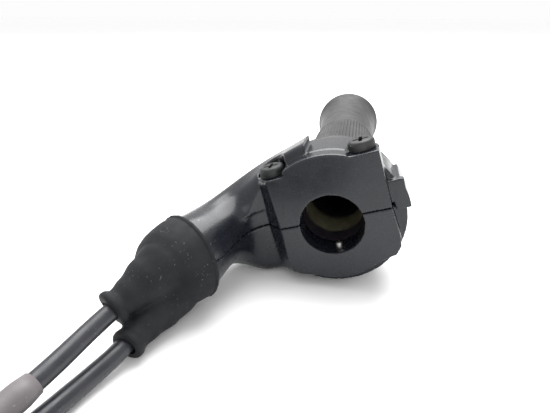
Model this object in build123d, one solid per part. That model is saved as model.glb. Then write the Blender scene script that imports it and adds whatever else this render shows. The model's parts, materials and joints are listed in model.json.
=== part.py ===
from build123d import *
import os
from math import acos, atan2, cos, degrees, pi, radians, sin, sqrt, tan

# Right-hand twist throttle for a 22.2 mm handlebar, with its pair of cables. Millimetres.
# Row frame: the origin is the centre of the bar bore on the inboard face, +Y runs along the bar
# towards the closed end of the grip, +Z is up, and the parts rest on the plane z = FLOOR_Z.
# The case frame has the same origin and Y axis; the case and its arm lean by ROLL about it.

# ---- driving dimensions ------------------------------------------------------------------
BAR_R = 11.1            # handlebar radius, and the case's clamp bore
ROLL = 17.3             # lean of the case about the bar, degrees
TWIST = 75.0            # grip travel from closed to open, degrees

CASE_R = 25.8           # drum part of the case
CASE_DEPTH = 21.3       # case along the bar
CLAMP_DEPTH = 10.3      # length of the clamp bore
DRUM_FRONT = 6.0        # where the round drum part starts, behind the front plate
CAVITY_R = 21.4         # room for the cable drum
CAVITY_BACK = 19.2
PARTING_Z = 2.1         # joint between the case halves, case frame
PARTING_GAP = 0.25
PARTING_RISE = 0.132    # left of the plate the joint rises along the arm, to the middle of its mouth
RIDGE_Z = 8.6           # above this line the arm's skin stands a little proud
FLOOR_Z = -CASE_R       # the surface that everything rests on

PLATE_L, PLATE_R = -18.3, 21.1      # side borders of the front plate
SCREW_Y = 6.5
SCREW_X = (-16.4, 15.6)
SEAT_Z = (20.8, 22.6)
BOSS_R = 5.6
SCREW_R, HEAD_R, HEAD_H = 2.45, 4.55, 3.3
SCREW_LEN = 29.0
PIN_R, PIN_Y = 1.3, 4.0             # pin that locates the case on the bar

TUBE_BORE, TUBE_R, TUBE_END = 11.3, 13.5, 152.0
DRUM_Y = (10.7, 18.8)               # cable drum between its flanges' outer faces
FLANGE_R, GROOVE_R, WIRE_PLANE = 20.8, 16.8, 14.8
WIRE_R = 0.75
WRAP_R = GROOVE_R + WIRE_R          # radius of the wire's centreline on the drum
NIPPLE_R, NIPPLE_LEN = 2.6, 5.0
NIPPLE_DEG = {"pull": 40.0, "push": -10.0}   # from +X towards +Z, throttle closed
STOP_DEG, STOP_HALF = -60.0, 4.0    # throttle stop in the lower case
STOP_R = 18.8
STOP_END = 11.9         # the stop reaches this far along the bar, and the nipples start behind it

GRIP_Y = (22.2, 158.0)
GRIP_FLANGE_R, GRIP_FLANGE_T = 25.3, 4.2
RIB_END = 93.0                      # ribbed part of the grip ends, smooth part starts
GRIP_R, SMOOTH_R = 16.2, 15.6
END_FLANGE_R = 18.9

MOUTH = Vector(-45.7, -12.8, -8.2)  # middle of the boot's mouth on the arm
MOUTH_DIR = Vector(-0.334, -0.915, -0.227).normalized()
NECK_R, NECK_LEN = 12.2, 8.0
WALL = 2.3
LEG_STEP = 5.6                      # half the distance between the two cables at the mouth
ELBOW_R, ELBOW_BORE = 3.0, 1.3
ADJUSTER_R = 4.5

CABLE_R = 2.8                       # conduit
COLLARS = {"pull": Vector(-59.8, -44.0, -11.0), "push": Vector(-54.5, -47.3, -20.5)}
COLLAR_R = 5.2
RIM = Vector(-46.5, -15.0, -8.6)     # middle of the boot's open end, which sits askew on the neck
RIM_DIR = Vector(-0.536, -0.842, -0.054).normalized()
BOOT_R = 14.8

TIE_T = 0.9                         # thickness of the ties, which the coils stand on
COIL_MID_R = 30.8                   # middle of the turns: 11 cable diameters across
LANE = 2 * CABLE_R                  # the turns lie one diameter apart, two wide and two high
COIL_OUT_R = COIL_MID_R + LANE / 2  # outer lane
COIL_Y = -114.0
COIL_LOW_Z = FLOOR_Z + TIE_T + CABLE_R
COIL_HIGH_Z = COIL_LOW_Z + LANE
ENTRY_X = {"pull": -77.0, "push": -68.0}
COIL_X = {"pull": ENTRY_X["pull"] - COIL_OUT_R, "push": ENTRY_X["push"] + COIL_OUT_R}

FERRULE_R, FERRULE_LEN = 3.6, 8.0   # carburettor end of each cable
THREAD_R, THREAD_LEN = 3.0, 20.0
NUT_AF, NUT_T = 10.0, 3.2
END_Z = FLOOR_Z + NUT_AF / 2 / cos(radians(30)) + 0.03
END_BORE_R = 0.9
END_OUT = {"pull": 33.0, "push": 10.0}       # wire showing past the thread, throttle closed
END_IN = {"pull": 4.0, "push": 26.5}         # wire inside the fitting, throttle closed


# ---- helpers -----------------------------------------------------------------------------
def lean(shape):
    """From the case frame to the row frame."""
    return Rot(0, -ROLL, 0) * shape


def rod(start, end, r0, r1=None):
    """A cylinder, or a cone, between two points."""
    start, end = Vector(start), Vector(end)
    height = (end - start).length
    place = Plane(origin=start, z_dir=end - start).location
    low = (Align.CENTER, Align.CENTER, Align.MIN)
    if r1 is None or abs(r1 - r0) < 1e-6:
        return place * Cylinder(r0, height, align=low)
    return place * Cone(r0, r1, height, align=low)


def ring(start, end, r_out, r_in):
    start, end = Vector(start), Vector(end)
    along = (end - start).normalized()
    return rod(start, end, r_out) - rod(start - along, end + along, r_in)


def block(x0, x1, y0, y1, z0, z1):
    return Pos((x0 + x1) / 2, (y0 + y1) / 2, (z0 + z1) / 2) * Box(x1 - x0, y1 - y0, z1 - z0)


def disc(radius, y0, y1):
    return rod((0, y0, 0), (0, y1, 0), radius)


def prism_y(points, y0, y1):
    """An outline in the XZ plane, extruded from y0 to y1."""
    outline = make_face(Polyline(*[(x, y0, z) for x, z in points], close=True))
    return extrude(outline, amount=y1 - y0, dir=(0, 1, 0))


def prism_z(points, z0, z1):
    outline = make_face(Polyline(*[(x, y, z0) for x, y in points], close=True))
    return extrude(outline, amount=z1 - z0, dir=(0, 0, 1))


def sector(r_in, r_out, mid_deg, half_deg, y0, y1):
    """A piece of a ring about the bar; angles run from +X towards +Z."""
    reach = 2 * r_out
    sides = [(0, 0)]
    for turn in (-half_deg, 0, half_deg):
        a = radians(mid_deg + turn)
        sides.append((reach * cos(a), reach * sin(a)))
    return (disc(r_out, y0, y1) - disc(r_in, y0 - 1, y1 + 1)) & prism_y(sides, y0, y1)


def path_radii(points):
    """The largest tangent arcs: 0.45 of the shorter run over the tangent of half the turn."""
    runs = [b - a for a, b in zip(points, points[1:])]
    radii = []
    for one, two in zip(runs, runs[1:]):
        turn = one.get_angle(two)
        radii.append(0.45 * min(one.length, two.length) / tan(radians(turn / 2)))
    return radii


def tube_along(name, points, radius, radii=None, bore=0.0):
    radii = radii or path_radii(points)
    line = FilletPolyline(*points, radius=radii) if len(points) > 2 else Polyline(*points)
    start = Plane(origin=points[0], z_dir=points[1] - points[0])
    profile = Circle(radius) - Circle(bore) if bore else Circle(radius)
    solid = sweep(start * profile, path=line)
    expected = pi * (radius**2 - bore**2) * line.length
    print(name, "radii", [round(r, 1) for r in radii], "length", round(line.length, 1),
          "volume / expected", round(solid.volume / expected, 4))
    return solid


def mouth_point(side, along):
    """A point on the pull (upper) or push (lower) cable line at the arm's mouth."""
    step = {"pull": LEG_STEP, "push": -LEG_STEP, "middle": 0.0}[side]
    up = (Vector(0, 0, 1) - MOUTH_DIR * MOUTH_DIR.Z).normalized()
    return MOUTH + up * step + MOUTH_DIR * along


# ---- case halves -------------------------------------------------------------------------
def front_plate():
    """The flat inboard plate with its arched top, round bottom and two screw ears."""
    arch = disc(CASE_R - 0.3, 0, DRUM_FRONT + 1) & block(-11.8, 10.8, 0, 8, 0, 30)
    ears = prism_y([(PLATE_L, 0), (PLATE_L, SEAT_Z[0]), (-11.7, SEAT_Z[0]), (10.6, SEAT_Z[1]),
                    (PLATE_R - 0.2, SEAT_Z[1]), (PLATE_R, 0)], 0, DRUM_FRONT + 1)
    lower = prism_y([(PLATE_L, 0.1), (-19.4, -12.0), (-18.4, -15.9), (-15.0, -17.3), (-8.0, -19.7),
                     (8.0, -19.7), (14.6, -16.8), (19.2, -15.7), (21.3, -12.8), (21.8, -9.0),
                     (PLATE_R, 0.1)], 0, DRUM_FRONT + 1)
    belly = disc(21.3, 0, DRUM_FRONT + 1) & block(-14, 13.5, 0, 8, -22, 0)
    side_wall = prism_z([(PLATE_L + 0.02, 0), (PLATE_L + 4, 0), (PLATE_L + 4, 7), (-25.0, 7)], -15.8, 20.0)
    return arch + ears + lower + belly + side_wall


def bosses():
    made = [rod((x, SCREW_Y, -15.5), (x, SCREW_Y, z), BOSS_R) for x, z in zip(SCREW_X, SEAT_Z)]
    return made[0] + made[1]


def drum_part():
    """The round part that the cable drum turns in, with the lug that laps over the joint."""
    lug = sector(CASE_R - 1.5, 27.3, 10.6, 12.0, 4.0, 20.0)
    foot = block(20.8, 26.6, 4.0, DRUM_FRONT + 0.5, -0.6, 10.2)
    return disc(CASE_R, DRUM_FRONT, CASE_DEPTH), lug + foot


# Sections of the arm: plan position of its middle, heading from -X towards -Y, fall of the
# path, middle height, half width, half height and corner radius.
ARM = [
    (-11.0, 13.2, 0, 0, 1.0, 8.0, 25.9, 3.0),
    (-20.9, 13.2, 0, 2, -2.5, 8.0, 22.4, 4.0),
    (-33.3, 9.2, 35, 6, -7.7, 9.6, 17.2, 7.0),
    (-41.4, -1.2, 66, 6, -7.5, 11.6, 12.3, 10.5),
]


def arm_plane(x, y, heading, fall, z):
    h, f = radians(heading), radians(fall)
    along = Vector(-cos(h) * cos(f), -sin(h) * cos(f), -sin(f))
    return Plane(origin=(x, y, z), x_dir=(sin(h), -cos(h), 0), z_dir=along)


def neck_plane(along):
    side = Vector(MOUTH_DIR.Y, -MOUTH_DIR.X, 0).normalized() * -1
    return Plane(origin=mouth_point("middle", along), x_dir=side, z_dir=MOUTH_DIR)


def arm_solid(skin):
    """The gooseneck's outside, less skin all round."""
    faces = []
    for x, y, heading, fall, z, half_w, half_h, corner in ARM:
        outline = RectangleRounded(2 * (half_w - skin), 2 * (half_h - skin), max(corner - skin, 1.0))
        faces.append(arm_plane(x, y, heading, fall, z) * outline)
    for along, grow in ((-3.0, 0.5), (NECK_LEN, 0.0)):
        size = 2 * (NECK_R + grow - skin)
        faces.append(neck_plane(along) * RectangleRounded(size, size + 0.4, size / 2 - 0.15))
    return loft(faces)


def arm_room():
    """The channel inside the arm, from the drum's cavity to the wall at the mouth."""
    narrow = (CAVITY_BACK - CLAMP_DEPTH - 0.3) / 2
    mid = CLAMP_DEPTH + 0.2 + narrow
    faces = [
        arm_plane(-13.0, mid, 0, 0, 0.0) * RectangleRounded(2 * narrow, 36.0, 2.0),
        arm_plane(-21.5, mid, 0, 2, -2.5) * RectangleRounded(2 * narrow, 36.0, 2.0),
    ]
    for x, y, heading, fall, z, half_w, half_h, corner in ARM[2:]:
        outline = RectangleRounded(2 * (half_w - WALL), 2 * (half_h - WALL), corner - WALL)
        faces.append(arm_plane(x, y, heading, fall, z) * outline)
    size = 2 * (NECK_R - WALL)
    faces.append(neck_plane(NECK_LEN - 4.5) * RectangleRounded(size, size + 0.4, size / 2 - 0.15))
    return loft(faces)


def beyond_joint(z, limit):
    """Everything between limit and a surface like the joint, which passes the plate at height z."""
    far = z + PARTING_RISE * (120 + PLATE_L)
    return lean(prism_y([(-120, far), (PLATE_L, z), (120, z), (120, limit), (-120, limit)], -90, 90))


def lug_clear(lug):
    """The lug, cut clear of the lower half where it laps over it."""
    below = block(0, 40, 0, 30, -9, PARTING_Z + PARTING_GAP / 2)
    return lug - (disc(CASE_R + 0.12, DRUM_FRONT - 0.1, CASE_DEPTH) & below)


def case_hollow():
    """Everything that is open inside the closed case."""
    room = disc(CAVITY_R, CLAMP_DEPTH, CAVITY_BACK) + arm_room()
    room += disc(BAR_R, -1, CLAMP_DEPTH + 1)
    room += disc(TUBE_R + 0.05, CAVITY_BACK - 1, CASE_DEPTH + 1)
    for side in ("pull", "push"):
        room += rod(mouth_point(side, -2), mouth_point(side, NECK_LEN + 3), ELBOW_R + 0.02)
        _, points = inner_route(side)
        relief = tube_along(side + "_elbow_room", points, ELBOW_R + 0.3, ELBOW_ARCS)
        room += relief - rod(mouth_point("middle", NECK_LEN - 4.5), mouth_point("middle", NECK_LEN + 40), 30)
    for x, z in zip(SCREW_X, SEAT_Z):
        inner = 4.4 if x < 0 else -4.4
        outer = -5.3 if x < 0 else 9.0
        room += lean(rod((x, SCREW_Y, z), (x, SCREW_Y, z + 12), HEAD_R + 0.75))
        room += lean(block(*sorted((x + inner, x + outer)), -1, SCREW_Y, z, 34))
    return room


def one_casting(shape):
    """The casting without the slivers that crossing cuts leave inside it, none above 0.1 mm3."""
    pieces = sorted(shape.solids(), key=lambda piece: piece.volume)
    if any(piece.volume > 0.1 for piece in pieces[:-1]):
        raise ValueError("casting in more than one piece")
    return pieces[-1]


def case_halves():
    round_part, lug = drum_part()
    arm = (arm_solid(0.0) & beyond_joint(RIDGE_Z, 80)) + (arm_solid(0.45) & beyond_joint(RIDGE_Z, -80))
    body = lean(front_plate() + bosses() + round_part) + arm - case_hollow()
    upper = body & beyond_joint(PARTING_Z + PARTING_GAP / 2, 80)
    lower = body & beyond_joint(PARTING_Z - PARTING_GAP / 2, -80)
    upper += lean(lug_clear(lug)) - disc(CAVITY_R + 0.5, 0, CASE_DEPTH)
    for x, z in zip(SCREW_X, SEAT_Z):
        upper -= lean(rod((x, SCREW_Y, 0), (x, SCREW_Y, z + 1), SCREW_R + 0.35))
        lower -= lean(rod((x, SCREW_Y, z - SCREW_LEN - 0.8), (x, SCREW_Y, 5), SCREW_R + 0.02))
    lower -= lean(rod((0, PIN_Y, -17.5), (0, PIN_Y, -10), PIN_R + 0.02))
    lower += sector(STOP_R, CAVITY_R + 1, STOP_DEG, STOP_HALF, CLAMP_DEPTH - 0.5, STOP_END)
    return one_casting(upper), one_casting(lower)


def case_screws():
    """Two pan-head screws with cross recesses, clamping the case on the bar."""
    made = []
    for x, z in zip(SCREW_X, SEAT_Z):
        head = rod((x, SCREW_Y, z), (x, SCREW_Y, z + HEAD_H), HEAD_R)
        head = fillet(head.edges().filter_by(GeomType.CIRCLE).group_by(Axis.Z)[-1], 1.3)
        top = z + HEAD_H
        cross = block(x - 2.6, x + 2.6, SCREW_Y - 0.55, SCREW_Y + 0.55, top - 1.7, top + 1)
        cross += block(x - 0.55, x + 0.55, SCREW_Y - 2.6, SCREW_Y + 2.6, top - 1.7, top + 1)
        shank = rod((x, SCREW_Y, z - SCREW_LEN), (x, SCREW_Y, z + 0.1), SCREW_R)
        made.append(lean(head + shank - cross))
    return Compound(children=made)


def bar_pin():
    """Pressed into the lower half; its crown is level with the clamp bore."""
    return lean(rod((0, PIN_Y, -17.5), (0, PIN_Y, -BAR_R - 0.12), PIN_R))


# ---- throttle tube, grip and nipples -----------------------------------------------------
def turned(points):
    """A solid of revolution about the bar, from (radius, y) points."""
    return revolve(make_face(Polyline(*[(r, y) for r, y in points], close=True)), axis=Axis.Y)


def nipple_place(side):
    a = radians(NIPPLE_DEG[side])
    return WRAP_R * cos(a), WRAP_R * sin(a)


def throttle_tube():
    front, back = DRUM_Y
    groove = WIRE_R + 0.35
    tube = turned([
        (TUBE_BORE, front), (FLANGE_R, front), (FLANGE_R, WIRE_PLANE - groove), (GROOVE_R, WIRE_PLANE - groove),
        (GROOVE_R, WIRE_PLANE + groove), (FLANGE_R, WIRE_PLANE + groove), (FLANGE_R, back),
        (TUBE_R, back), (TUBE_R, TUBE_END), (TUBE_BORE, TUBE_END),
    ])
    for side in ("pull", "push"):
        x, z = nipple_place(side)
        tube -= rod((x, front - 1, z), (x, back - 1.0, z), NIPPLE_R + 0.03)
    swing = TWIST / 2 + STOP_HALF + 0.5
    tube -= sector(STOP_R - 0.4, FLANGE_R + 1, STOP_DEG + TWIST / 2, swing, front - 1, STOP_END + 0.3)
    return tube


def nipple(side):
    """Barrel nipple at the drum end, lying along the bar, with the wire's end in its middle."""
    x, z = nipple_place(side)
    middle = WIRE_PLANE
    return rod((x, middle - NIPPLE_LEN / 2, z), (x, middle + NIPPLE_LEN / 2 - 0.1, z), NIPPLE_R)


def grip_rubber():
    """Moulded grip: inboard flange, ribbed part, smooth waist, end flange and closed end."""
    y0, y1 = GRIP_Y
    t = GRIP_FLANGE_T
    return turned([
        (TUBE_R, y0), (GRIP_FLANGE_R - 1.4, y0), (GRIP_FLANGE_R, y0 + 1.4), (GRIP_FLANGE_R, y0 + t - 1.6),
        (GRIP_FLANGE_R - 1.2, y0 + t), (GRIP_R + 1.8, y0 + t + 0.8), (GRIP_R, y0 + t + 2.8), (GRIP_R, RIB_END),
        (SMOOTH_R, RIB_END + 0.8), (SMOOTH_R, RIB_END + 26), (SMOOTH_R + 0.4, y1 - 22),
        (SMOOTH_R + 1.3, y1 - 13), (END_FLANGE_R - 0.9, y1 - 8.5), (END_FLANGE_R, y1 - 6.5),
        (END_FLANGE_R, y1 - 3.0), (END_FLANGE_R - 1.6, y1 - 0.8), (END_FLANGE_R - 4.5, y1), (0, y1),
        (0, TUBE_END), (TUBE_R, TUBE_END),
    ])


# ---- wires and elbows inside the arm -----------------------------------------------------
ELBOW_START = {"pull": Vector(-22.5, WIRE_PLANE, 8.0), "push": Vector(-22.5, WIRE_PLANE, -14.0)}


def tangent_point(side):
    """Where the wire leaves the drum for its elbow, as an angle and a point."""
    start = ELBOW_START[side]
    reach = sqrt(start.X**2 + start.Z**2)
    spread = degrees(acos(WRAP_R / reach))
    angle = degrees(atan2(start.Z, start.X)) + (-spread if side == "pull" else spread)
    a = radians(angle)
    return angle, Vector(WRAP_R * cos(a), WIRE_PLANE, WRAP_R * sin(a))


def inner_route(side):
    """The wire's straight run off the drum and its way round the elbow to the mouth."""
    _, leaves = tangent_point(side)
    start = ELBOW_START[side]
    along = (start - leaves).normalized()
    return leaves, [start, start + along * 11.5, mouth_point(side, -12.0), mouth_point(side, NECK_LEN + 5)]


ELBOW_ARCS = [13.0, 30.0]


def elbow(side):
    """Bent steel guide tube from beside the drum out through the arm's mouth."""
    _, points = inner_route(side)
    return tube_along(side + "_elbow", points, ELBOW_R, ELBOW_ARCS, ELBOW_BORE)


def drum_wire(side):
    """Inner wire from its nipple round the drum and through the elbow, throttle closed."""
    angle, leaves = tangent_point(side)
    start = NIPPLE_DEG[side]
    if side == "push":
        angle -= 360 if angle > start else 0
    clear = degrees((NIPPLE_R + 0.05) / WRAP_R)
    first = start + (clear if angle > start else -clear)
    arc = Plane.XZ.location * CenterArc((0, 0, 0), WRAP_R, first, angle - first)
    arc = Pos(0, WIRE_PLANE, 0) * arc
    profile = Plane(origin=arc @ 0, z_dir=arc % 0) * Circle(WIRE_R)
    wrap = sweep(profile, path=arc)
    _, points = inner_route(side)
    run = tube_along(side + "_wire", [leaves] + points[1:], WIRE_R, ELBOW_ARCS)
    return wrap + run


def elbow_nuts():
    """Lock nuts at the mouth, one on each elbow's thread."""
    made = []
    for side in ("pull", "push"):
        start = mouth_point(side, NECK_LEN)
        place = Plane(origin=start, z_dir=MOUTH_DIR).location
        nut = extrude(place * RegularPolygon(4.7, 6, major_radius=False), amount=2.4, dir=MOUTH_DIR)
        made.append(nut - rod(start - MOUTH_DIR, start + MOUTH_DIR * 4, ELBOW_R + 0.02))
    return Compound(children=made)


def adjuster(side):
    """Barrel adjuster on the elbow's thread; the conduit seats in its outer end."""
    start, end = mouth_point(side, NECK_LEN + 2.6), mouth_point(side, NECK_LEN + 12)
    body = rod(start, end, ADJUSTER_R)
    body -= rod(mouth_point(side, NECK_LEN + 1), mouth_point(side, NECK_LEN + 5.1), ELBOW_R + 0.02)
    return body - rod(start, end + MOUTH_DIR, 1.1)


# ---- boot ----------------------------------------------------------------------------------
def leg_axis(side):
    start = mouth_point(side, NECK_LEN + 1) + (mouth_point("middle", 0) - mouth_point(side, 0)) * 0.2
    return start, COLLARS[side]


def ring_face(middle, normal, radius):
    return Plane(origin=tuple(middle), z_dir=tuple(normal)) * Circle(radius)


def boot():
    """Rubber boot over the arm's neck, dividing into two legs that end in collars."""
    outside = loft([ring_face(RIM, RIM_DIR, BOOT_R),
                    ring_face(RIM + RIM_DIR * 4.0, (RIM_DIR + Vector(*MOUTH_DIR).normalized()).normalized(), BOOT_R),
                    ring_face(mouth_point("middle", 17.0), Vector(*MOUTH_DIR).normalized(), 11.2)])
    inside = rod(mouth_point("middle", -6), mouth_point("middle", NECK_LEN + 0.2), NECK_R + 0.3)
    inside += rod(mouth_point("middle", NECK_LEN), mouth_point("middle", 14.5), 12.0, 9.6)
    for side in ("pull", "push"):
        start, end = leg_axis(side)
        along = (end - start).normalized()
        outside += rod(start, end - along * 2.0, 9.4, 4.9)
        outside += rod(end - along * 2.2, end, COLLAR_R)
        inside += rod(start, end - along * 3.0, 7.2, CABLE_R + 0.3)
        inside += rod(mouth_point(side, NECK_LEN), mouth_point(side, NECK_LEN + 12.4), ADJUSTER_R + 0.3)
        inside += tube_along(side + "_boot_room", cable_route(side), CABLE_R + 0.3)
    return outside - inside - arm_solid(-0.3)


# ---- cables ------------------------------------------------------------------------------
# Each cable runs from its adjuster through the boot's collar and down to its coil.
def cable_route(side):
    if side == "pull":
        return [mouth_point("pull", NECK_LEN + 12.9), COLLARS["pull"], Vector(-66.9, -68.5, -15.8),
                Vector(-75.0, -98.0, -16.2), Vector(ENTRY_X["pull"], COIL_Y, COIL_HIGH_Z)]
    return [mouth_point("push", NECK_LEN + 12.9), COLLARS["push"], Vector(-61.2, -62.0, -22.9),
            Vector(-65.6, -80.5, -21.6), Vector(-67.4, -99.5, -17.9),
            Vector(ENTRY_X["push"], COIL_Y, COIL_HIGH_Z)]


def coil_shape(side):
    """Outer shape of the put-away turns."""
    middle = (COIL_X[side], COIL_Y, 0)
    low, high = FLOOR_Z + TIE_T, FLOOR_Z + TIE_T + 2 * LANE
    tall, half = high - low, LANE + 0.05
    section = Plane.XZ.location * (Pos(COIL_MID_R, (low + high) / 2) * RectangleRounded(2 * half, tall, 2.6))
    return Pos(*middle) * revolve(section, axis=Axis.Z)


TIE_DEG = {"pull": (95.0, 215.0, 310.0), "push": (15.0, 85.0, 225.0)}


def coil_ties(side):
    """Flat bands round the bundle of turns; the coil rests on them."""
    made = []
    half_w, low, high = LANE + 0.1, FLOOR_Z + TIE_T, FLOOR_Z + TIE_T + 2 * LANE
    for angle in TIE_DEG[side]:
        a = radians(angle)
        middle = Vector(COIL_X[side] + COIL_MID_R * cos(a), COIL_Y + COIL_MID_R * sin(a), (low + high) / 2)
        place = Plane(origin=middle, x_dir=(cos(a), sin(a), 0), z_dir=(-sin(a), cos(a), 0))
        outer = RectangleRounded(2 * (half_w + TIE_T), high - low + 2 * TIE_T, 3.2)
        inner = RectangleRounded(2 * half_w + 0.1, high - low + 0.06, 2.4)
        band = extrude(place * (outer - inner), amount=2.0, both=True)
        made.append(band)
    return Compound(children=made)


# The far ends: the conduit leaves the outer lane at the bottom, and its fitting lies level.
END_EXIT = {
    "pull": (Vector(COIL_X["pull"] - COIL_OUT_R, COIL_Y, COIL_LOW_Z), Vector(0, 1, 0)),
    "push": (Vector(COIL_X["push"], COIL_Y - COIL_OUT_R, COIL_LOW_Z), Vector(1, 0, 0)),
}
TAIL = 23.0             # conduit between the coil and its end ferrule


def end_point(side, along):
    start, heading = END_EXIT[side]
    return Vector(start.X, start.Y, END_Z) + heading * (TAIL + along)


def tail_route(side):
    """Out of the outer lane, up to the fitting's level, and level into its ferrule."""
    start, heading = END_EXIT[side]
    lifts = Vector(start.X, start.Y, COIL_LOW_Z + 0.25) + heading * 7.0
    return [start, lifts, end_point(side, -7.0), end_point(side, 0)]


def end_ferrule(side):
    body = rod(end_point(side, 0), end_point(side, FERRULE_LEN), FERRULE_R)
    return body - rod(end_point(side, -1), end_point(side, FERRULE_LEN + 1), END_BORE_R)


def end_thread(side):
    start, end = end_point(side, FERRULE_LEN), end_point(side, FERRULE_LEN + THREAD_LEN)
    return rod(start, end, THREAD_R) - rod(start - (end - start), end + (end - start), END_BORE_R)


def end_nuts(side):
    made = []
    heading = END_EXIT[side][1]
    for along in (FERRULE_LEN + 4, FERRULE_LEN + 11):
        place = Plane(origin=end_point(side, along), x_dir=(0, 0, 1), z_dir=heading).location
        nut = extrude(place * RegularPolygon(NUT_AF / 2, 6, major_radius=False), amount=NUT_T, dir=heading)
        made.append(nut - rod(end_point(side, along - 1), end_point(side, along + 6), THREAD_R + 0.01))
    return Compound(children=made)


def end_wire(side):
    tip = FERRULE_LEN + THREAD_LEN
    return rod(end_point(side, tip - END_IN[side]), end_point(side, tip + END_OUT[side]), WIRE_R)


def end_nipple(side):
    """Barrel nipple on the wire's far end, lying across it."""
    heading = END_EXIT[side][1]
    across = Vector(heading.Y, heading.X, 0)
    middle = end_point(side, FERRULE_LEN + THREAD_LEN + END_OUT[side] + 2.6)
    return rod(middle - across * 3, middle + across * 3, 2.6)


def sleeve():
    """Grey protective sleeve on the pull cable, past the boot."""
    _, _, near, far, _ = cable_route("pull")
    along = (far - near).normalized()
    start = near + along * 2.5
    return ring(start, start + along * 16.0, CABLE_R + 0.9, CABLE_R + 0.35)


# ---- write the nodes -----------------------------------------------------------------------
def build():
    upper, lower = case_halves()
    nodes = {
        "upper_case": upper,
        "lower_case": lower,
        "case_screws": case_screws(),
        "bar_pin": bar_pin(),
        "throttle_tube": throttle_tube(),
        "grip_rubber": grip_rubber(),
        "elbow_lock_nuts": elbow_nuts(),
        "cable_boot": boot(),
        "pull_sleeve": sleeve(),
    }
    for side in ("pull", "push"):
        nodes[side + "_drum_nipple"] = nipple(side)
        nodes[side + "_drum_wire"] = drum_wire(side)
        nodes[side + "_elbow"] = elbow(side)
        nodes[side + "_adjuster"] = adjuster(side)
        nodes[side + "_cable"] = tube_along(side + "_cable", cable_route(side), CABLE_R)
        nodes[side + "_coil"] = coil_shape(side)
        nodes[side + "_coil_ties"] = coil_ties(side)
        nodes[side + "_cable_tail"] = tube_along(side + "_tail", tail_route(side), CABLE_R)
        nodes[side + "_end_ferrule"] = end_ferrule(side)
        nodes[side + "_end_thread"] = end_thread(side)
        nodes[side + "_end_nuts"] = end_nuts(side)
        nodes[side + "_end_wire"] = end_wire(side)
        nodes[side + "_end_nipple"] = end_nipple(side)
    return nodes


os.makedirs("parts", exist_ok=True)
for name, shape in build().items():
    export_step(shape, f"parts/{name}.step")
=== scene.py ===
import json
import math

import bmesh
import bpy
from mathutils import Matrix, Vector, noise


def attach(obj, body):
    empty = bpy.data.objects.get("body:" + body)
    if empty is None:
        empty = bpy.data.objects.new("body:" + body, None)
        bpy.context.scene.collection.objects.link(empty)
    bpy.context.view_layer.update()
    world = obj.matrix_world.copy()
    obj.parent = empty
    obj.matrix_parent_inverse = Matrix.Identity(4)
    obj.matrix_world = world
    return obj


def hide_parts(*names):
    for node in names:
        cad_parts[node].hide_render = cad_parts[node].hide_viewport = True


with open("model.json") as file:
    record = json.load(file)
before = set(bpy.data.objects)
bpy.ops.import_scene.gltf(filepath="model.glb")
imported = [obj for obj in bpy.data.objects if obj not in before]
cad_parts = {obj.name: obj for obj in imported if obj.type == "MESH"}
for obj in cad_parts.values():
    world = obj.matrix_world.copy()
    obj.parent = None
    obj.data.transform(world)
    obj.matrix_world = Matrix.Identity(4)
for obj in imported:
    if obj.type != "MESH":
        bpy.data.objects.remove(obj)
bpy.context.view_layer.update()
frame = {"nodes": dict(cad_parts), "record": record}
nodes = frame["nodes"]
scene = bpy.context.scene
MM = 0.001

# ---- dimensions shared with the CAD source, in millimetres --------------------------------
FLOOR_Z = -25.8
ROLL = math.radians(17.3)
CABLE_R = 2.8
MOUTH = Vector((-45.7, -12.8, -8.2))
MOUTH_DIR = Vector((-0.334, -0.915, -0.227)).normalized()
LEG_STEP, NECK_LEN = 5.6, 8.0
COLLARS = {"pull": Vector((-59.8, -44.0, -11.0)), "push": Vector((-54.5, -47.3, -20.5))}
RIM = Vector((-46.5, -15.0, -8.6))      # middle of the boot's open end, askew on the neck
RIM_DIR = Vector((-0.536, -0.842, -0.054)).normalized()
COIL_MID_R, COIL_Y, LANE = 30.8, -114.0, 2 * CABLE_R
COIL_IN_R, COIL_OUT_R = COIL_MID_R - LANE / 2, COIL_MID_R + LANE / 2
COIL_LOW_Z = FLOOR_Z + 0.9 + CABLE_R
COIL_HIGH_Z = COIL_LOW_Z + LANE
ENTRY_X = {"pull": -77.0, "push": -68.0}
COIL_X = {"pull": ENTRY_X["pull"] - COIL_OUT_R, "push": ENTRY_X["push"] + COIL_OUT_R}
END_Z = FLOOR_Z + 5.0 / math.cos(math.radians(30)) + 0.03
TAIL, FERRULE_LEN, THREAD_LEN, THREAD_R = 23.0, 8.0, 20.0, 3.0
WIRE_BORE = 1.1
SIDES = ("pull", "push")


def mouth_point(side, along):
    step = {"pull": LEG_STEP, "push": -LEG_STEP, "middle": 0.0}[side]
    up = (Vector((0, 0, 1)) - MOUTH_DIR * MOUTH_DIR.z).normalized()
    return MOUTH + up * step + MOUTH_DIR * along


def lean(point):
    """From the case frame to the row frame."""
    return Matrix.Rotation(-ROLL, 3, "Y") @ Vector(point)


# ---- camera ---------------------------------------------------------------------------------
def make_camera():
    data = bpy.data.cameras.new("camera")
    data.lens, data.sensor_width = 28.2, 36.0
    data.clip_start, data.clip_end = 0.005, 20.0
    cam = bpy.data.objects.new("camera", data)
    right = Vector((0.98238, 0.18691, 0.0))
    look = Vector((-0.17023, 0.89467, -0.41302)).normalized()
    right = (right - look * right.dot(look)).normalized()
    up = right.cross(look)
    turn = Matrix((right, up, -look)).transposed()
    cam.matrix_world = Matrix.Translation(Vector((5.544, -134.281, 67.529)) * MM) @ turn.to_4x4()
    scene.collection.objects.link(cam)
    scene.camera = cam


# ---- mesh helpers -----------------------------------------------------------------------------
def link(name, data):
    obj = bpy.data.objects.new(name, data)
    scene.collection.objects.link(obj)
    return obj


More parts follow.
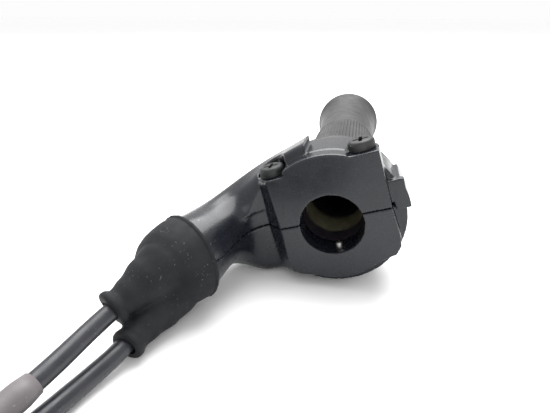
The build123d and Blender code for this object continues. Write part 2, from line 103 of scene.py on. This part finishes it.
def from_bmesh(name, bm, smooth=True):
    bmesh.ops.recalc_face_normals(bm, faces=bm.faces)
    for face in bm.faces:
        face.smooth = smooth
    mesh = bpy.data.meshes.new(name)
    bm.to_mesh(mesh)
    bm.free()
    return link(name, mesh)


def bake_modifiers(obj):
    """Leaves the result of an object's modifiers as its own mesh."""
    graph = bpy.context.evaluated_depsgraph_get()
    mesh = bpy.data.meshes.new_from_object(obj.evaluated_get(graph))
    old = obj.data
    obj.modifiers.clear()
    obj.data = mesh
    bpy.data.meshes.remove(old)
    for face in obj.data.polygons:
        face.use_smooth = True
    return obj


def remeshed(obj, voxel, smooth):
    mod = obj.modifiers.new("cast", "REMESH")
    mod.mode, mod.voxel_size = "VOXEL", voxel * MM
    soft = obj.modifiers.new("soft", "SMOOTH")
    soft.factor, soft.iterations = 0.5, smooth
    return bake_modifiers(obj)


def softened(node, name, voxel, smooth):
    """A casting or moulding of a CAD node's shape, with its edges rounded as the real one's are."""
    bm = bmesh.new()
    bm.from_mesh(nodes[node].data)
    bmesh.ops.remove_doubles(bm, verts=bm.verts, dist=2e-6)
    piece = remeshed(from_bmesh(name, bm), voxel, smooth)
    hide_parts(node)
    return piece


def frame_of(direction):
    """Two unit vectors square to a direction."""
    side = direction.cross(Vector((0, 0, 1)))
    if side.length < 1e-4:
        side = Vector((1, 0, 0))
    side.normalize()
    return side, side.cross(direction).normalized()


def sweep_rings(bm, path, radii, segments, wave=None):
    """A closed tapered tube through path points, with its ends capped."""
    rings = []
    for i, (point, radius) in enumerate(zip(path, radii)):
        ahead = path[min(i + 1, len(path) - 1)] - path[max(i - 1, 0)]
        side, up = frame_of(ahead.normalized())
        ring = []
        for k in range(segments):
            a = 2 * math.pi * k / segments
            r = radius + (wave(i, a) if wave else 0.0)
            ring.append(bm.verts.new((point + (side * math.cos(a) + up * math.sin(a)) * r) * MM))
        rings.append(ring)
    for one, two in zip(rings, rings[1:]):
        for k in range(segments):
            bm.faces.new((one[k], one[(k + 1) % segments], two[(k + 1) % segments], two[k]))
    bm.faces.new(rings[0])
    bm.faces.new(rings[-1])


# ---- cords ------------------------------------------------------------------------------------
ROUTES = {
    "pull": [(-59.8, -44.0, -11.0), (-66.9, -68.5, -15.8), (-75.0, -98.0, -16.2)],
    "push": [(-54.5, -47.3, -20.5), (-61.2, -62.0, -22.9), (-65.6, -80.5, -21.6), (-67.4, -99.5, -17.9)],
}
COIL_START = {"pull": 0.0, "push": 180.0}       # where each cable joins its coil
COIL_WAY = {"pull": -1, "push": 1}
COIL_TURN = {"pull": 1260, "push": 1170}
# turned so far, radius, height: outer lane on top, inner on top, inner below, outer below
COIL_LANES = [
    (0, COIL_OUT_R, COIL_HIGH_Z), (300, COIL_OUT_R, COIL_HIGH_Z), (360, COIL_IN_R, COIL_HIGH_Z),
    (600, COIL_IN_R, COIL_HIGH_Z), (660, COIL_IN_R, COIL_LOW_Z), (900, COIL_IN_R, COIL_LOW_Z),
    (960, COIL_OUT_R, COIL_LOW_Z), (1300, COIL_OUT_R, COIL_LOW_Z),
]
COIL_STEP = 18          # degrees between the spline's points


def lane_at(turned):
    for one, two in zip(COIL_LANES, COIL_LANES[1:]):
        if turned <= two[0]:
            t = (turned - one[0]) / (two[0] - one[0])
            t = t * t * (3 - 2 * t)
            return one[1] + (two[1] - one[1]) * t, one[2] + (two[2] - one[2]) * t
    return COIL_LANES[-1][1:]


def coil_points(side):
    grow = 1 / math.cos(math.radians(COIL_STEP / 2))    # the spline runs inside its points
    points = []
    for turned in range(0, COIL_TURN[side] + 1, COIL_STEP):
        radius, z = lane_at(turned)
        a = math.radians(COIL_START[side] + COIL_WAY[side] * turned)
        points.append(Vector((COIL_X[side] + radius * grow * math.cos(a),
                              COIL_Y + radius * grow * math.sin(a), z)))
    return points


END_EXIT = {
    "pull": (Vector((COIL_X["pull"] - COIL_OUT_R, COIL_Y, COIL_LOW_Z)), Vector((0, 1, 0))),
    "push": (Vector((COIL_X["push"], COIL_Y - COIL_OUT_R, COIL_LOW_Z)), Vector((1, 0, 0))),
}


def end_point(side, along):
    start, heading = END_EXIT[side]
    return Vector((start.x, start.y, END_Z)) + heading * (TAIL + along)


def cord_points(side):
    start, heading = END_EXIT[side]
    lifts = Vector((start.x, start.y, COIL_LOW_Z + 0.25)) + heading * 7.0
    route = [mouth_point(side, NECK_LEN + 12.9)] + [Vector(p) for p in ROUTES[side]]
    return route + coil_points(side) + [lifts, end_point(side, -7.0), end_point(side, 0)]


def spline_curve(name, points, radius):
    curve = bpy.data.curves.new(name, "CURVE")
    curve.dimensions, curve.resolution_u = "3D", 8
    curve.bevel_depth, curve.bevel_resolution, curve.use_fill_caps = radius * MM, 7, radius > 0
    spline = curve.splines.new("NURBS")
    spline.points.add(len(points) - 1)
    for slot, point in zip(spline.points, points):
        slot.co = (*(point * MM), 1.0)
    spline.order_u, spline.use_endpoint_u = 3, True
    return link(name, curve)


def centreline(points):
    """The spline's own points, in millimetres."""
    plain = spline_curve("bare_line", points, 0.0)
    graph = bpy.context.evaluated_depsgraph_get()
    mesh = bpy.data.meshes.new_from_object(plain.evaluated_get(graph))
    line = [v.co / MM for v in mesh.vertices]
    bpy.data.objects.remove(plain)
    return line


# ---- materials --------------------------------------------------------------------------------
class Nodes:
    """Short names for making a material's node tree."""

    def __init__(self, name):
        self.mat = bpy.data.materials.new(name)
        self.mat.use_nodes = True
        self.tree = self.mat.node_tree
        self.shader = self.tree.nodes["Principled BSDF"]
        self.place = self.tree.nodes.new("ShaderNodeTexCoord").outputs["Object"]

    def join(self, source, target):
        self.tree.links.new(source, target)

    def stretched(self, scale):
        node = self.tree.nodes.new("ShaderNodeMapping")
        node.inputs["Scale"].default_value = scale
        self.join(self.place, node.inputs["Vector"])
        return node.outputs["Vector"]

    def grain(self, scale, detail=4.0, rough=0.55, place=None):
        node = self.tree.nodes.new("ShaderNodeTexNoise")
        node.inputs["Scale"].default_value = scale
        node.inputs["Detail"].default_value = detail
        node.inputs["Roughness"].default_value = rough
        self.join(place or self.place, node.inputs["Vector"])
        return node.outputs["Fac"]

    def ramp(self, source, low, high, from_value=0.0, to_value=1.0):
        node = self.tree.nodes.new("ShaderNodeMapRange")
        for key, value in zip(("From Min", "From Max", "To Min", "To Max"), (low, high, from_value, to_value)):
            node.inputs[key].default_value = value
        self.join(source, node.inputs["Value"])
        return node.outputs["Result"]

    def times(self, one, two, kind="MULTIPLY"):
        node = self.tree.nodes.new("ShaderNodeMath")
        node.operation = kind
        for slot, value in zip(node.inputs, (one, two)):
            if isinstance(value, float):
                slot.default_value = value
            else:
                self.join(value, slot)
        return node.outputs[0]

    def blend(self, amount, one, two):
        node = self.tree.nodes.new("ShaderNodeMix")
        node.data_type = "RGBA"
        self.join(amount, node.inputs["Factor"])
        for slot, value in ((node.inputs[6], one), (node.inputs[7], two)):
            if isinstance(value, tuple):
                slot.default_value = (*value, 1.0)
            else:
                self.join(value, slot)
        return node.outputs[2]

    def pointed(self):
        return self.tree.nodes.new("ShaderNodeNewGeometry").outputs["Pointiness"]

    def height(self, *layers):
        """Bump from (source, millimetres) layers."""
        normal = None
        for source, depth in layers:
            bump = self.tree.nodes.new("ShaderNodeBump")
            bump.inputs["Distance"].default_value = depth * MM
            self.join(source, bump.inputs["Height"])
            if normal:
                self.join(normal, bump.inputs["Normal"])
            normal = bump.outputs["Normal"]
        self.join(normal, self.shader.inputs["Normal"])


def worn_solid(name, dark, light, rough, grain=700.0, bump=0.02, metal=0.0, wear=None, dust=None,
               spread=(0.05, 0.12), coat=0.0, specular=0.5, stretch=None):
    """A moulded, painted or plated finish: patchy colour and gloss, fine grain, dust specks and rubbed edges."""
    n = Nodes(name)
    place = n.stretched(stretch) if stretch else None
    patches = n.ramp(n.grain(90.0, place=place), 0.35, 0.65)
    colour = n.blend(patches, dark, light)
    gloss = n.ramp(n.grain(210.0, place=place), 0.3, 0.7, rough - spread[0], rough + spread[1])
    if dust:
        specks = n.ramp(n.grain(1500.0, 2.0), 0.66, 0.72)
        where = n.ramp(n.grain(120.0, 3.0), 0.48, 0.62)
        amount = n.times(n.times(specks, where), dust[1])
        colour = n.blend(amount, colour, dust[0])
    if wear:
        edge = n.ramp(n.pointed(), wear[1], wear[2])
        rubbed = n.times(edge, n.ramp(n.grain(500.0, 6.0), 0.42, 0.6))
        colour = n.blend(rubbed, colour, wear[0])
    n.join(colour, n.shader.inputs["Base Color"])
    n.join(gloss, n.shader.inputs["Roughness"])
    n.shader.inputs["Metallic"].default_value = metal
    n.shader.inputs["Specular IOR Level"].default_value = specular
    n.shader.inputs["Coat Weight"].default_value = coat
    n.shader.inputs["Coat Roughness"].default_value = 0.12
    n.height((n.grain(grain, 3.0, place=place), bump), (n.grain(160.0, 2.0), bump * 2.5))
    return n.mat


def bore_nylon():
    """Natural nylon, with painted shade at the mouth and deep inside, and its own colour only on the lit ring between.
    """
    n = Nodes("tube_nylon")
    axes = n.tree.nodes.new("ShaderNodeSeparateXYZ")
    n.join(n.place, axes.inputs[0])
    wander = n.times(n.grain(140.0), 0.003)
    along = n.times(axes.outputs["Y"], wander, "ADD")
    # mask of the lit ring, where the nylon's own colour shows; outside it the colour is painted shade, at the mouth and
    # deep in the bore
    plain = n.times(n.ramp(along, 0.0185, 0.0205), n.ramp(along, 0.0300, 0.0330, 1.0, 0.0))
    # painted shade: dark colours that stand for the shade in the bore
    painted_shade = n.blend(n.ramp(n.grain(260.0), 0.3, 0.7), (0.020, 0.017, 0.026), (0.034, 0.028, 0.034))
    nylon = n.blend(n.ramp(n.grain(320.0), 0.3, 0.7), (0.14, 0.130, 0.080), (0.27, 0.255, 0.165))
    n.join(n.blend(plain, painted_shade, nylon), n.shader.inputs["Base Color"])
    n.join(n.ramp(n.grain(300.0), 0.3, 0.7, 0.25, 0.5), n.shader.inputs["Roughness"])
    n.height((n.grain(900.0), 0.02))
    return n.mat


MATERIALS = {
    "case_black": worn_solid(
        "case_black", (0.0060, 0.0072, 0.0110), (0.0085, 0.0100, 0.0145), 0.25, 1400.0, 0.004,
        wear=((0.13, 0.13, 0.14), 0.545, 0.60), dust=((0.16, 0.16, 0.17), 0.3), coat=0.05,
        spread=(0.03, 0.06), specular=0.42),
    "screw_zinc": worn_solid(
        "screw_zinc", (0.022, 0.023, 0.024), (0.050, 0.050, 0.051), 0.48, 900.0, 0.02, metal=0.7,
        wear=((0.20, 0.20, 0.20), 0.54, 0.60)),
    "pin_steel": worn_solid(
        "pin_steel", (0.22, 0.22, 0.22), (0.40, 0.40, 0.39), 0.38, 900.0, 0.02, metal=1.0),
    "tube_nylon": bore_nylon(),
    "grip_rubber": worn_solid(
        "grip_rubber", (0.022, 0.022, 0.023), (0.036, 0.036, 0.036), 0.50, 1600.0, 0.02,
        dust=((0.20, 0.20, 0.19), 0.3), specular=0.35),
    "boot_rubber": worn_solid(
        "boot_rubber", (0.009, 0.010, 0.012), (0.016, 0.017, 0.019), 0.68, 1400.0, 0.03,
        dust=((0.22, 0.22, 0.22), 0.5), specular=0.2),
    "conduit_black": worn_solid(
        "conduit_black", (0.016, 0.017, 0.022), (0.024, 0.025, 0.031), 0.30, 1000.0, 0.012,
        dust=((0.30, 0.30, 0.31), 0.4)),
    "sleeve_grey": worn_solid(
        "sleeve_grey", (0.125, 0.113, 0.117), (0.165, 0.150, 0.154), 0.55, 1200.0, 0.02,
        dust=((0.40, 0.38, 0.38), 0.4)),
    "steel_plated": worn_solid(
        "steel_plated", (0.40, 0.39, 0.35), (0.60, 0.58, 0.53), 0.30, 1200.0, 0.012, metal=1.0),
    "wire_steel": worn_solid(
        "wire_steel", (0.30, 0.30, 0.29), (0.52, 0.52, 0.50), 0.38, 2500.0, 0.02, metal=1.0),
    "nipple_brass": worn_solid(
        "nipple_brass", (0.42, 0.34, 0.18), (0.60, 0.50, 0.29), 0.36, 1000.0, 0.02, metal=1.0),
    "tie_black": worn_solid(
        "tie_black", (0.018, 0.018, 0.019), (0.034, 0.034, 0.035), 0.45, 1500.0, 0.02),
}


def finish_with(obj, slot):
    obj.data.materials.clear()
    obj.data.materials.append(MATERIALS[slot])
    return obj


# ---- grip -------------------------------------------------------------------------------------
GRIP_RIBS, RIB_STEPS = 64, 6
RIB_DEPTH = 0.5


def rounded(profile, steps=5, share=0.42):
    """Rounds the corners of a (radius, y) profile."""
    out = [profile[0]]
    for before, here, after in zip(profile, profile[1:], profile[2:]):
        b, h, a = (Vector((*p, 0)) for p in (before, here, after))
        cut = min((b - h).length, (a - h).length) * share
        one, two = h + (b - h).normalized() * cut, h + (a - h).normalized() * cut
        for k in range(steps + 1):
            t = k / steps
            p = one * (1 - t) ** 2 + h * 2 * t * (1 - t) + two * t * t
            out.append((p.x, p.y))
    return out + [profile[-1]]


def make_grip():
    y0, y1, flange, rib_end = 22.2, 158.0, 25.3, 93.0
    outer = rounded([
        (13.5, y0), (flange - 0.8, y0), (flange, y0 + 1.2), (flange, y0 + 3.2), (flange - 1.2, y0 + 4.2),
        (18.0, y0 + 5.0), (16.2, y0 + 7.4), (16.2, rib_end), (15.6, rib_end + 0.8), (15.6, rib_end + 26),
        (16.0, y1 - 22), (16.9, y1 - 13), (18.0, y1 - 8.5), (18.9, y1 - 6.3), (18.9, y1 - 3.0),
        (17.4, y1 - 0.8), (14.2, y1 - 0.1), (12.0, y1 - 0.4), (7.0, y1 - 0.4),
    ])
    ribbed = [(16.2, y0 + 8 + k * (rib_end - y0 - 9.2) / 14) for k in range(15)]
    lead = [p for p in outer if p[1] < y0 + 8 and p[0] > 13.4]
    tail = [p for p in outer if p[1] > rib_end - 1.2]
    profile = lead + ribbed + tail
    count = GRIP_RIBS * RIB_STEPS
    bm = bmesh.new()
    rings = []
    for radius, y in profile:
        fade = max(0.0, min(1.0, (y - (y0 + 9)) / 1.5, (rib_end - 0.6 - y) / 1.2)) if radius < 16.6 else 0.0
        ring = []
        for k in range(count):
            a = 2 * math.pi * k / count
            wave = 0.5 - 0.5 * math.cos(a * GRIP_RIBS)
            r = radius - RIB_DEPTH * fade * (1 - wave) ** 1.5
            ring.append(bm.verts.new((r * math.cos(a) * MM, y * MM, r * math.sin(a) * MM)))
        rings.append(ring)
    inner = [[bm.verts.new((13.5 * math.cos(2 * math.pi * k / count) * MM, y * MM,
                            13.5 * math.sin(2 * math.pi * k / count) * MM)) for k in range(count)]
             for y in (152.0, y0 + 0.2)]
    for one, two in zip(rings, rings[1:]):
        for k in range(count):
            bm.faces.new((one[k], one[(k + 1) % count], two[(k + 1) % count], two[k]))
    bm.faces.new(rings[-1])
    for k in range(count):
        j = (k + 1) % count
        bm.faces.new((inner[0][k], inner[0][j], inner[1][j], inner[1][k]))
        bm.faces.new((inner[1][k], inner[1][j], rings[0][j], rings[0][k]))
    bm.faces.new(inner[0])
    piece = from_bmesh("grip_moulding", bm)
    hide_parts("grip_rubber")
    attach(finish_with(piece, "grip_rubber"), "throttle")


# ---- boot ---------------------------------------------------------------------------------------
def bezier(a, b, c, steps):
    return [a * (1 - t) ** 2 + b * 2 * t * (1 - t) + c * t * t for t in (k / steps for k in range(steps + 1))]


def along_profile(stops, count):
    """count values read off (share, value) stops, with soft turns."""
    values = []
    for k in range(count):
        t = k / (count - 1)
        for (t0, v0), (t1, v1) in zip(stops, stops[1:]):
            if t <= t1:
                u = (t - t0) / (t1 - t0)
                u = u * u * (3 - 2 * u)
                values.append(v0 + (v1 - v0) * u)
                break
    return values


LEG_OUT = [(0.0, 9.0), (0.30, 8.9), (0.55, 7.6), (0.78, 5.6), (0.90, 4.6), (1.0, 4.6)]


def leg_path(side, past=0.0):
    start = mouth_point(side, NECK_LEN - 1)
    start = start + (mouth_point("middle", 0) - mouth_point(side, 0)) * 0.15
    end = COLLARS[side]
    knee = mouth_point(side, NECK_LEN + 10)
    along = (end - knee).normalized()
    return bezier(start, knee, end + along * past, 30), along


def boot_line(shares):
    """Points from the askew rim onto the neck's own line."""
    turn, end = RIM + RIM_DIR * 6, mouth_point("middle", 19)
    return [RIM * (1 - t) ** 2 + turn * 2 * t * (1 - t) + end * t * t for t in shares]


def make_boot():
    bm = bmesh.new()
    body = boot_line((0.0, 0.08, 0.2, 0.35, 0.5, 0.65, 0.8, 0.92, 1.0))
    sweep_rings(bm, body, [14.5, 14.8, 14.8, 14.6, 14.3, 13.6, 12.0, 9.0, 6.0], 72)
    for side in SIDES:
        path, along = leg_path(side)
        sweep_rings(bm, path, along_profile(LEG_OUT, len(path)), 56)
        end = path[-1]
        lip = [end + along * t for t in (-2.6, -2.1, -1.2, 0.0, 0.4)]
        wide = {"pull": 5.8, "push": 5.2}[side]
        sweep_rings(bm, lip, [4.5, wide - 0.3, wide, wide - 0.1, 4.7], 56)
    skin = remeshed(from_bmesh("boot_skin", bm), 0.45, 10)

    rim = bmesh.new()
    bead = [RIM + RIM_DIR * t for t in (-0.3, 0.0, 0.6, 1.2, 1.5)]
    sweep_rings(rim, bead, [14.3, 15.0, 15.25, 15.0, 14.3], 96,
                lambda i, a: 0.10 * math.sin(a * 31) * math.sin(a * 7 + 1.0))
    bead_mesh = from_bmesh("boot_bead", rim)
    joined = skin.modifiers.new("bead", "BOOLEAN")
    joined.operation, joined.object, joined.solver = "UNION", bead_mesh, "EXACT"
    bake_modifiers(skin)
    bpy.data.objects.remove(bead_mesh)

    hollow = bmesh.new()
    room = [RIM - RIM_DIR * 4, RIM] + boot_line((0.2, 0.4, 0.62, 0.74))
    sweep_rings(hollow, room, [13.2, 12.9, 12.7, 12.5, 10.8, 8.0], 72)
    for side in SIDES:
        path, along = leg_path(side, past=2.0)
        inner = along_profile([(0.0, 7.0), (0.55, 6.4), (0.80, 3.9), (0.9, 3.05), (1.0, 3.05)], len(path))
        sweep_rings(hollow, path, inner, 48)
    hollow_mesh = remeshed(from_bmesh("boot_hollow", hollow), 0.35, 3)
    cut = skin.modifiers.new("hollow", "BOOLEAN")
    cut.operation, cut.object, cut.solver = "DIFFERENCE", hollow_mesh, "EXACT"
    bake_modifiers(skin)
    bpy.data.objects.remove(hollow_mesh)

    # rubber is never quite even: slight dents
    normals = [v.normal.copy() for v in skin.data.vertices]
    for v, normal in zip(skin.data.vertices, normals):
        spot = v.co / MM
        dent = noise.noise(spot * 0.09) * 0.16 + noise.noise(spot * 0.34) * 0.04
        v.co += normal * dent * MM
    skin.name = "boot_moulding"
    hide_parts("cable_boot")
    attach(finish_with(skin, "boot_rubber"), "case")


# ---- bar pin, sleeve, threads, wire --------------------------------------------------------------
def make_pin():
    """The pin with its domed crown standing in the bore."""
    bm = bmesh.new()
    heights = [(-17.4, 1.3), (-9.9, 1.3), (-9.2, 1.28), (-8.8, 1.1), (-8.6, 0.75), (-8.55, 0.3)]
    path = [lean((0, 4.0, z)) for z, _ in heights]
    sweep_rings(bm, path, [r for _, r in heights], 40)
    piece = from_bmesh("pin_crowned", bm)
    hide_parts("bar_pin")
    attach(finish_with(piece, "pin_steel"), "case")


def cut_line(line, start, length):
    """The part of a centreline between two distances from its beginning."""
    out, gone = [], 0.0
    for a, b in zip(line, line[1:]):
        step = (b - a).length
        if gone + step > start and gone < start + length:
            out.append(a)
        gone += step
    return out


def make_sleeve(line):
    points = cut_line(line, 42.0, 17.0)
    bm = bmesh.new()
    sweep_rings(bm, points, [3.25] + [3.7] * (len(points) - 2) + [3.25], 48)
    piece = from_bmesh("sleeve_tube", bm)
    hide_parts("pull_sleeve")
    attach(finish_with(piece, "sleeve_grey"), "case")
    return piece


def helix_thread(name, start, heading, length, radius, pitch, depth):
    """A vee thread: one ridge that winds along a shank."""
    side, up = frame_of(heading)
    segments = 36
    rows = int(length / pitch * segments)
    shape = [(-0.5, 0.0), (-0.12, depth), (0.12, depth), (0.5, 0.0)]
    bm = bmesh.new()
    grid = []
    for i in range(rows + 1):
        a = 2 * math.pi * i / segments
        fade = max(0.0, min(1.0, i / segments, (rows - i) / segments))
        at = start + heading * (pitch * i / segments)
        out = side * math.cos(a) + up * math.sin(a)
        grid.append([bm.verts.new((at + heading * (x * pitch * 0.98) + out * (radius - depth + h * fade)) * MM)
                     for x, h in shape])
    for one, two in zip(grid, grid[1:]):
        for k in range(len(shape) - 1):
            bm.faces.new((one[k], one[k + 1], two[k + 1], two[k]))
    # the core is a tube, so that the inner wire can slide in it
    rings = []
    for along, r in ((0.0, radius - depth), (length, radius - depth), (length, WIRE_BORE), (0.0, WIRE_BORE)):
        rings.append([bm.verts.new((start + heading * along
                                    + (side * math.cos(a) + up * math.sin(a)) * r) * MM)
                      for a in (2 * math.pi * k / 48 for k in range(48))])
    for one, two in zip(rings, rings[1:] + rings[:1]):
        for k in range(48):
            bm.faces.new((one[k], one[(k + 1) % 48], two[(k + 1) % 48], two[k]))
    return from_bmesh(name, bm)


def stranded(name, start, end, radius):
    """Seven-strand wire: six strands laid round a core."""
    heading = (end - start).normalized()
    side, up = frame_of(heading)
    length = (end - start).length
    bm = bmesh.new()
    steps = max(12, int(length * 2.2))
    strand = radius / 3
    sweep_rings(bm, [start + heading * (length * i / steps) for i in range(steps + 1)], [strand] * (steps + 1), 10)
    for k in range(6):
        path = []
        for i in range(steps + 1):
            a = 2 * math.pi * (k / 6 + length * i / steps / 9.0)
            out = side * math.cos(a) + up * math.sin(a)
            path.append(start + heading * (length * i / steps) + out * strand * 1.98)
        sweep_rings(bm, path, [strand] * (steps + 1), 10)
    return from_bmesh(name, bm)


def make_ends():
    pieces = {"pull": [], "push": []}
    out = {"pull": 33.0, "push": 10.0}
    inside = {"pull": 4.0, "push": 26.5}        # enough to stay in the thread at full travel
    for side in SIDES:
        heading = END_EXIT[side][1]
        thread = helix_thread(side + "_thread_cut", end_point(side, FERRULE_LEN), heading, THREAD_LEN,
                              THREAD_R, 1.0, 0.5)
        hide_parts(side + "_end_thread")
        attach(finish_with(thread, "steel_plated"), "case")
        tip = FERRULE_LEN + THREAD_LEN
        wire = stranded(side + "_wire_strands", end_point(side, tip - inside[side]), end_point(side, tip + out[side]), 0.75)
        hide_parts(side + "_end_wire")
        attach(finish_with(wire, "wire_steel"), side + "_core")
        pieces[side] = [thread, wire]
    return pieces


# ---- the object ---------------------------------------------------------------------------------
make_camera()

NODE_SLOTS = {row["node"]: row["material_slot"] for row in frame["record"]["subparts"]}
for name, node in nodes.items():
    finish_with(node, NODE_SLOTS[name])

for node, label, voxel, passes in (("upper_case", "upper_casting", 0.40, 5), ("lower_case", "lower_casting", 0.40, 5),
                                   ("case_screws", "screws_formed", 0.16, 4)):
    piece = softened(node, label, voxel, passes)
    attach(finish_with(piece, NODE_SLOTS[node]), "case")

make_grip()
make_boot()
make_pin()
ends = make_ends()

for side in SIDES:
    points = cord_points(side)
    line = centreline(points)
    cable = spline_curve(side + "_conduit", points, CABLE_R)
    cable.data.materials.append(MATERIALS["conduit_black"])
    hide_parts(side + "_cable", side + "_coil", side + "_cable_tail")
    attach(cable, "case")
    goes_with = ends[side] + [nodes[side + part] for part in ("_coil_ties", "_end_ferrule", "_end_nuts", "_end_nipple")]
    if side == "pull":
        goes_with.append(make_sleeve(line))


# ---- floor and light ------------------------------------------------------------------------------
def make_floor():
    bm = bmesh.new()
    bmesh.ops.create_grid(bm, x_segments=2, y_segments=2, size=6.0)
    for v in bm.verts:
        v.co.z = (FLOOR_Z - 0.05) * MM
    floor = from_bmesh("floor", bm, smooth=False)
    n = Nodes("floor_white")
    n.shader.inputs["Base Color"].default_value = (0.99, 0.99, 0.99, 1.0)
    n.shader.inputs["Roughness"].default_value = 0.75
    floor.data.materials.append(n.mat)


def area_light(name, at, aim, size, power):
    data = bpy.data.lights.new(name, "AREA")
    data.shape, data.size, data.energy = "DISK", size, power
    lamp = link(name, data)
    lamp.location = at
    lamp.rotation_euler = (Vector(aim) - Vector(at)).to_track_quat("-Z", "Y").to_euler()


make_floor()
area_light("overhead", (-0.12, 0.50, 0.95), (0, 0.02, 0), 1.3, 24.0)
area_light("front", (0.35, -0.9, 0.6), (0, 0, 0), 0.8, 1.5)
world = bpy.data.worlds.new("studio")
world.use_nodes = True
world.node_tree.nodes["Background"].inputs["Color"].default_value = (1.0, 1.0, 1.0, 1.0)
world.node_tree.nodes["Background"].inputs["Strength"].default_value = 0.98
scene.world = world
scene.view_settings.view_transform = "Standard"
